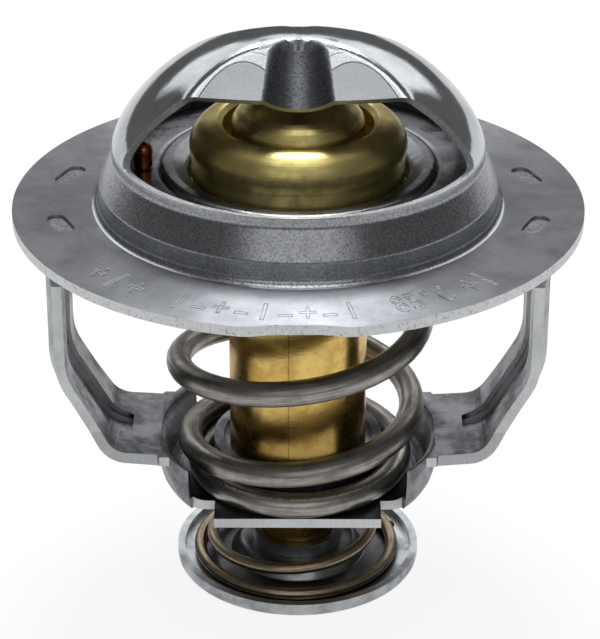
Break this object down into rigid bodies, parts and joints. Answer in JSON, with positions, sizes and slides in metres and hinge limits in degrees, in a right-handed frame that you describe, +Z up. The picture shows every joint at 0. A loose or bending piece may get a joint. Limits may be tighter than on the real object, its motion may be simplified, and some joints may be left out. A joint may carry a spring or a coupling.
{
  "type": "engine thermostat",
  "caption": "Wax element thermostat: a domed bridge on a clamping flange, a sprung main valve on a brass element, and a sprung bypass disc on the element's stem.",
  "frame": {"origin": "centre of the clamping flange's underside, on the axis of the valve", "axes": "+Z up the axis towards the bridge's crown; the bridge's strap and the two arms run along X; the flange's locating notch is at -Y"},
  "size_m": [0.067, 0.0665, 0.0698],
  "materials": {
    "pressed_steel": "bright plated sheet with drawing marks",
    "frame_steel": "satin sheet with scuffed beads",
    "piston_steel": "ground and polished",
    "valve_steel": "dull dark sheet",
    "brass": "turned, lightly tarnished",
    "washer_plastic": "white, waxy",
    "boot_rubber": "matt",
    "wax": "dense, filled with metal powder",
    "copper": "plain copper",
    "main_wire": "drawn spring wire, brownish grey",
    "bypass_wire": "drawn spring wire, light bronze grey",
    "disc_steel": "bright plated sheet",
    "clip_steel": "dark spring strip"
  },
  "bodies": {
    "frame": {"bridge_flange": "pressed_steel", "lower_frame": "frame_steel", "piston": "piston_steel", "main_spring": "main_wire"},
    "element": {"wax_case": "brass", "guide_cap": "brass", "boot_washer": "washer_plastic", "rubber_boot": "boot_rubber", "wax_charge": "wax", "main_valve": "valve_steel", "stem_clip": "clip_steel", "bypass_spring": "bypass_wire"},
    "bypass": {"bypass_valve": "disc_steel"},
    "vent": {"vent_pin": "copper"}
  },
  "joints": [
    {"name": "element_slide", "type": "slide", "parent": "frame", "child": "element", "axis": [0, 0, -1], "range_m": [0, 0.008], "stiffness_N_per_m": 5000, "springref_m": -0.016, "deforming": ["main_spring"]},
    {"name": "bypass_slide", "type": "slide", "parent": "element", "child": "bypass", "axis": [0, 0, 1], "range_m": [0, 0.005], "stiffness_N_per_m": 1500, "springref_m": -0.006, "deforming": ["bypass_spring"]},
    {"name": "vent_slide", "type": "slide", "parent": "element", "child": "vent", "axis": [0, 0, 1], "range_m": [0, 0.0015]}
  ]
}
